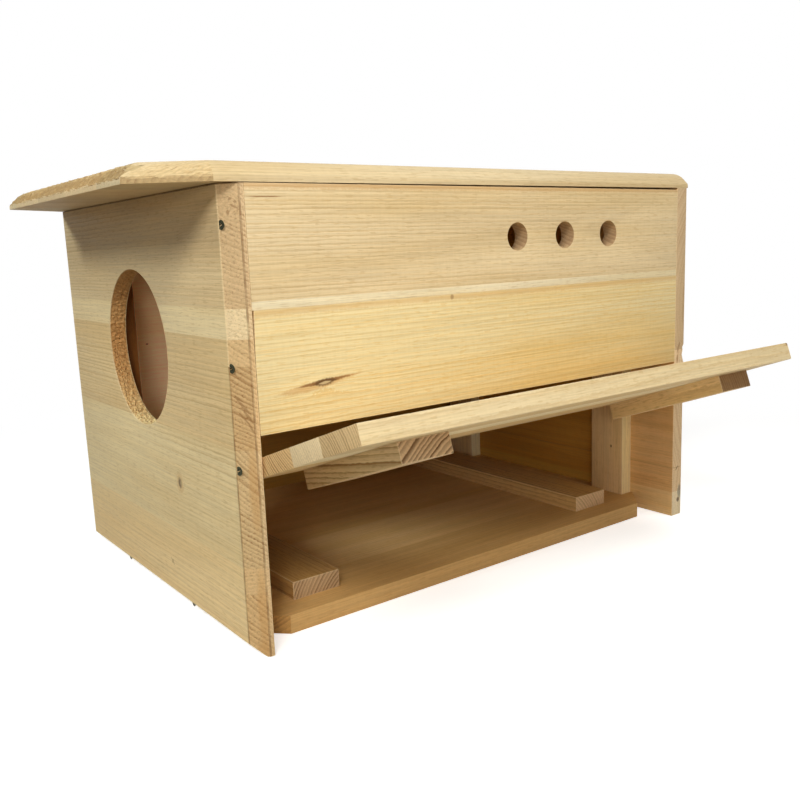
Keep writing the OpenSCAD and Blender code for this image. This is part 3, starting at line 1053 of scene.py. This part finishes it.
def leaning(side):
    """The way a head looks on the front bevel, where side is -1, or on the back one, where it is 1."""
    return Vector((-math.cos(BEVEL_LEAN), side * math.sin(BEVEL_LEAN), 0))


front_head_y = front_y + BEVEL_HEAD_IN
back_head_y = back_y - BEVEL_HEAD_IN
screw("pivot_screw_left_steel", Vector((BEVEL_HEAD_X, front_head_y, pivot_z)), leaning(-1),
      shank=pivot_high.x - BEVEL_HEAD_X - POINT_ROOM, replaced="pivot_screw_left", fit=bring_to_pivot)
screw("pivot_screw_right_steel", Vector((pivot_right_high.x, pivot_y, pivot_z)), X,
      shank=pivot_right_high.x - pivot_right_low.x - POINT_ROOM, replaced="pivot_screw_right")

chooser = random.Random("screws")
half_t = board_t / 2
PANEL_SCREWS = (369 * MM, 253.5 * MM)
BACK_SCREWS = (374 * MM, 262 * MM, 150 * MM, 38 * MM)
FLOOR_SCREWS = (86 * MM, -88 * MM)
FLOOR_SCREW_Z = 11.5 * MM
left_heads = [(Vector((BEVEL_HEAD_X, front_head_y, z)), leaning(-1)) for z in PANEL_SCREWS]
left_heads += [(Vector((BEVEL_HEAD_X, back_head_y, z)), leaning(1)) for z in BACK_SCREWS]
left_heads += [(Vector((left_x + HEAD_SINK, y, FLOOR_SCREW_Z)), -X) for y in FLOOR_SCREWS]
right_heads = [Vector((plain_head_x, front_y + half_t, z)) for z in PANEL_SCREWS]
right_heads += [Vector((plain_head_x, back_y - half_t, z)) for z in BACK_SCREWS]
right_heads += [Vector((plain_head_x, y, FLOOR_SCREW_Z)) for y in FLOOR_SCREWS]
for i, (head, outward) in enumerate(left_heads, start=1):
    screw(f"wall_screw_left_{i}", head, outward, turn=chooser.uniform(0, 1.5))
for i, head in enumerate(right_heads, start=1):
    screw(f"wall_screw_right_{i}", head, X, turn=chooser.uniform(0, 1.5))


# Camera, floor and light

CAMERA_LENS = 38.654
SENSOR_WIDTH = 36
CAMERA_PLACE = Vector((-0.60519, -0.85031, 0.34701))
CAMERA_YAW = math.radians(36.644)
CAMERA_PITCH = math.radians(10.149)
CAMERA_ROLL = math.radians(2.226)


def add_camera():
    yaw, pitch, roll = CAMERA_YAW, CAMERA_PITCH, CAMERA_ROLL
    ahead = Vector((math.sin(yaw) * math.cos(pitch), math.cos(yaw) * math.cos(pitch), -math.sin(pitch)))
    level_right = Vector((math.cos(yaw), -math.sin(yaw), 0))
    level_down = ahead.cross(level_right)
    right = math.cos(roll) * level_right + math.sin(roll) * level_down
    up = math.sin(roll) * level_right - math.cos(roll) * level_down
    camera = bpy.data.objects.new("camera", bpy.data.cameras.new("camera"))
    camera.data.lens = CAMERA_LENS
    camera.data.sensor_width = SENSOR_WIDTH
    turned = Matrix((right, up, -ahead)).transposed().to_4x4()
    camera.matrix_world = Matrix.Translation(CAMERA_PLACE) @ turned
    bpy.context.scene.collection.objects.link(camera)
    bpy.context.scene.camera = camera


def seen_directly(n):
    """One for rays from the camera and for what shows in polished metal."""
    path = n.add("ShaderNodeLightPath").outputs
    seen = n.math("MAXIMUM", path["Is Camera Ray"], path["Is Glossy Ray"])
    return n.math("MAXIMUM", seen, path["Is Transmission Ray"])


FLOOR_HALF = 4.0
FLOOR_DROP = 0.2 * MM
FLOOR_FRONT = (0.72, 0.65, 0.54)
FLOOR_LEFT = (0.085, 0.056, 0.02)
FLOOR_LIFT = 0.6
SHADOW_REACH = (0.55, 1.1)


def add_floor():
    """A pale floor that takes the shadow near the box and runs out into plain white."""
    bm = bmesh.new()
    bmesh.ops.create_grid(bm, x_segments=1, y_segments=1, size=FLOOR_HALF)
    mesh = bpy.data.meshes.new("studio_floor")
    bm.to_mesh(mesh)
    bm.free()
    material = bpy.data.materials.new("studio_floor")
    material.use_nodes = True
    tree = material.node_tree
    tree.nodes.clear()
    n = Nodes(tree)
    place = n.add("ShaderNodeTexCoord").outputs["Object"]
    across = n.add("ShaderNodeSeparateXYZ", {0: place}).outputs["X"]
    bounce = n.mix(n.step(across, left_x - 0.15, left_x + 0.1), rgba(FLOOR_LEFT), rgba(FLOOR_FRONT))
    dull = n.add("ShaderNodeBsdfDiffuse", {"Color": bounce}).outputs[0]
    pale = n.add("ShaderNodeBsdfDiffuse", {"Color": rgba((0.9, 0.9, 0.9))}).outputs[0]
    lift = n.add("ShaderNodeEmission", {"Color": rgba(NEUTRAL), "Strength": FLOOR_LIFT}).outputs[0]
    near = n.add("ShaderNodeAddShader", {0: pale, 1: lift}).outputs[0]
    far = n.add("ShaderNodeEmission", {"Color": rgba(NEUTRAL), "Strength": 1.0}).outputs[0]
    away = n.measure("LENGTH", place)
    white = n.add("ShaderNodeMixShader", {0: n.step(away, *SHADOW_REACH), 1: near, 2: far}).outputs[0]
    chosen = n.add("ShaderNodeMixShader", {0: seen_directly(n), 1: dull, 2: white}).outputs[0]
    n.feed(n.add("ShaderNodeOutputMaterial").inputs["Surface"], chosen)
    mesh.materials.append(material)
    floor = bpy.data.objects.new("studio_floor", mesh)
    floor.location.z = -FLOOR_DROP
    bpy.context.scene.collection.objects.link(floor)


AMBIENT = (0.008, 0.005, 0.001)


def set_world():
    world = bpy.data.worlds.new("studio")
    world.use_nodes = True
    bpy.context.scene.world = world
    tree = world.node_tree
    tree.nodes.clear()
    n = Nodes(tree)
    around = n.add("ShaderNodeBackground", {"Color": rgba(AMBIENT), "Strength": 1.0}).outputs[0]
    white = n.add("ShaderNodeBackground", {"Color": rgba(NEUTRAL), "Strength": 1.0}).outputs[0]
    chosen = n.add("ShaderNodeMixShader", {0: seen_directly(n), 1: around, 2: white}).outputs[0]
    n.feed(n.add("ShaderNodeOutputWorld").inputs["Surface"], chosen)


def add_softbox(name, place, target, width, height, watts, colour):
    lamp = bpy.data.lights.new(name, "AREA")
    lamp.shape = "RECTANGLE"
    lamp.size = width
    lamp.size_y = height
    lamp.energy = watts
    lamp.color = colour
    box = bpy.data.objects.new(name, lamp)
    box.location = place
    box.rotation_mode = "QUATERNION"
    box.rotation_quaternion = (target - place).to_track_quat("-Z", "Y")
    bpy.context.scene.collection.objects.link(box)


add_camera()
add_floor()
set_world()
FRONT_TARGET = Vector((-0.05, front_y, 0.22))
WALL_TARGET = Vector((left_x, 0.0, 0.25))
ENTRANCE_TARGET = Vector((-0.15, 0.0, 0.22))
add_softbox("high_softbox", Vector((0.45, -1.05, 1.95)), FRONT_TARGET, 0.9, 0.6, 18.5, (1.0, 0.99, 0.96))
add_softbox("front_softbox", Vector((-0.4, -1.3, 0.65)), FRONT_TARGET, 0.5, 0.9, 2.4, (1.0, 0.99, 0.96))
add_softbox("corner_softbox", Vector((-1.3, -1.3, 1.5)), FRONT_TARGET, 0.6, 0.6, 20, (1.0, 1.0, 0.97))
add_softbox("left_softbox", Vector((-1.6, 0.6, 1.45)), WALL_TARGET, 0.45, 0.45, 15, (0.94, 1.0, 0.98))
add_softbox("entrance_softbox", Vector((-0.975, -1.3, 0.46)), ENTRANCE_TARGET, 0.3, 0.3, 4.0,
            (1.0, 0.98, 0.94))

bpy.context.scene.view_settings.view_transform = "Standard"
